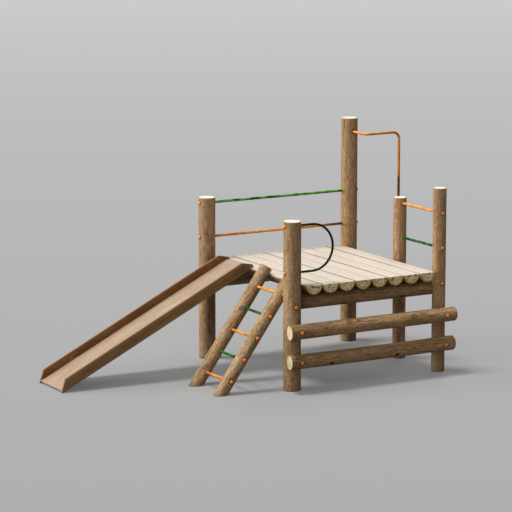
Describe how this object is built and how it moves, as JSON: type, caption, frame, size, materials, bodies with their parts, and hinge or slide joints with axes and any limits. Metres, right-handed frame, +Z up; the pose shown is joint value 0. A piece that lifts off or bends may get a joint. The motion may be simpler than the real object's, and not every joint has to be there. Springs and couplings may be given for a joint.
{
  "type": "slide platform",
  "caption": "Round-log play platform with a half-round deck, board slide, leaning ladder, climbing logs, guard rails, D-shaped grab handle and slide-down pole.",
  "frame": {"origin": "centre of the footprint's bounding box, on the ground", "axes": "+X from the slide to the pole, +Y from the climbing logs to the back rails, +Z up"},
  "size_m": [3.8826, 1.8896, 2.23],
  "materials": {
    "log_pine": "planed and oiled round timber",
    "deck_pine": "pale sawn timber",
    "slide_board": "dark stained board",
    "slide_bed": "smooth varnished board",
    "orange_steel": "glossy powder coat",
    "green_steel": "glossy powder coat",
    "orange_cap": "glossy moulded plastic"
  },
  "bodies": {
    "root": {"beam_back": "log_pine", "beam_bolt_back_left": "orange_cap", "beam_bolt_back_right": "orange_cap", "beam_bolt_front_left": "orange_cap", "beam_bolt_front_right": "orange_cap", "beam_front": "log_pine", "climbing_log_lower": "log_pine", "climbing_log_upper": "log_pine", "fire_pole": "orange_steel", "grab_handle": "green_steel", "half_round_1": "deck_pine", "half_round_2": "deck_pine", "half_round_3": "deck_pine", "half_round_4": "deck_pine", "half_round_5": "deck_pine", "half_round_6": "deck_pine", "half_round_7": "deck_pine", "half_round_8": "deck_pine", "handle_cap_lower": "orange_cap", "handle_cap_upper": "orange_cap", "ladder_rung_1": "orange_steel", "ladder_rung_2": "green_steel", "ladder_rung_3": "orange_steel", "ladder_rung_4": "green_steel", "ladder_rung_5": "orange_steel", "ladder_stringer_left": "log_pine", "ladder_stringer_right": "log_pine", "log_bolt_lower_left": "orange_cap", "log_bolt_lower_right": "orange_cap", "log_bolt_upper_left": "orange_cap", "log_bolt_upper_right": "orange_cap", "pole_cap": "orange_cap", "post_back_left": "log_pine", "post_back_right": "log_pine", "post_front_left": "log_pine", "post_front_right": "log_pine", "post_middle_right": "log_pine", "rail_back_lower": "orange_steel", "rail_back_upper": "green_steel", "rail_cap_back_left_lower": "orange_cap", "rail_cap_back_left_upper": "orange_cap", "rail_cap_back_right_lower": "orange_cap", "rail_cap_back_right_upper": "orange_cap", "rail_cap_side_back_lower": "orange_cap", "rail_cap_side_back_upper": "orange_cap", "rail_cap_side_front_lower": "orange_cap", "rail_cap_side_front_upper": "orange_cap", "rail_side_lower": "green_steel", "rail_side_upper": "orange_steel", "rung_cap_1": "orange_cap", "rung_cap_2": "orange_cap", "rung_cap_3": "orange_cap", "rung_cap_4": "orange_cap", "rung_cap_5": "orange_cap", "slide_bed": "slide_bed", "slide_cheek_far": "slide_board", "slide_cheek_near": "slide_board"}
  },
  "joints": []
}
